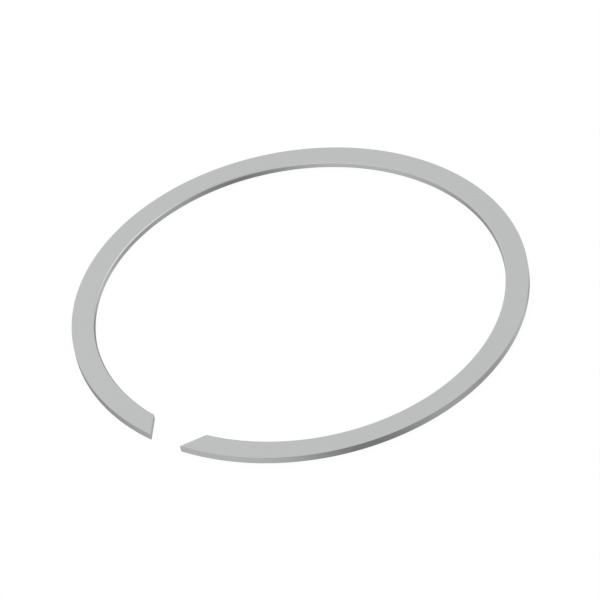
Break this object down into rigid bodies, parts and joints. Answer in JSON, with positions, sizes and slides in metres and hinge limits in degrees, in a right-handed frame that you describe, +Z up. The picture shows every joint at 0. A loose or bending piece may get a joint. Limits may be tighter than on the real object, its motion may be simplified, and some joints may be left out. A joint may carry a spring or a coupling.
{
  "type": "internal retaining ring",
  "caption": "Flat open ring of spring steel that springs into a groove in a housing and holds a bearing or a shaft shoulder in place; slanted ends, no lugs.",
  "frame": {"origin": "on the ring's axis, at its lower face, which lies on the surface the ring rests on", "axes": "+Z up along the ring's axis, through its thickness; the gap between the ends is centred on -Y; +X to the right seen from the gap"},
  "size_m": [0.12, 0.1198, 0.002],
  "materials": {
    "spring_steel": "plain tumbled spring steel, light grey satin"
  },
  "bodies": {
    "root": {"retaining_ring": "spring_steel"}
  },
  "joints": []
}
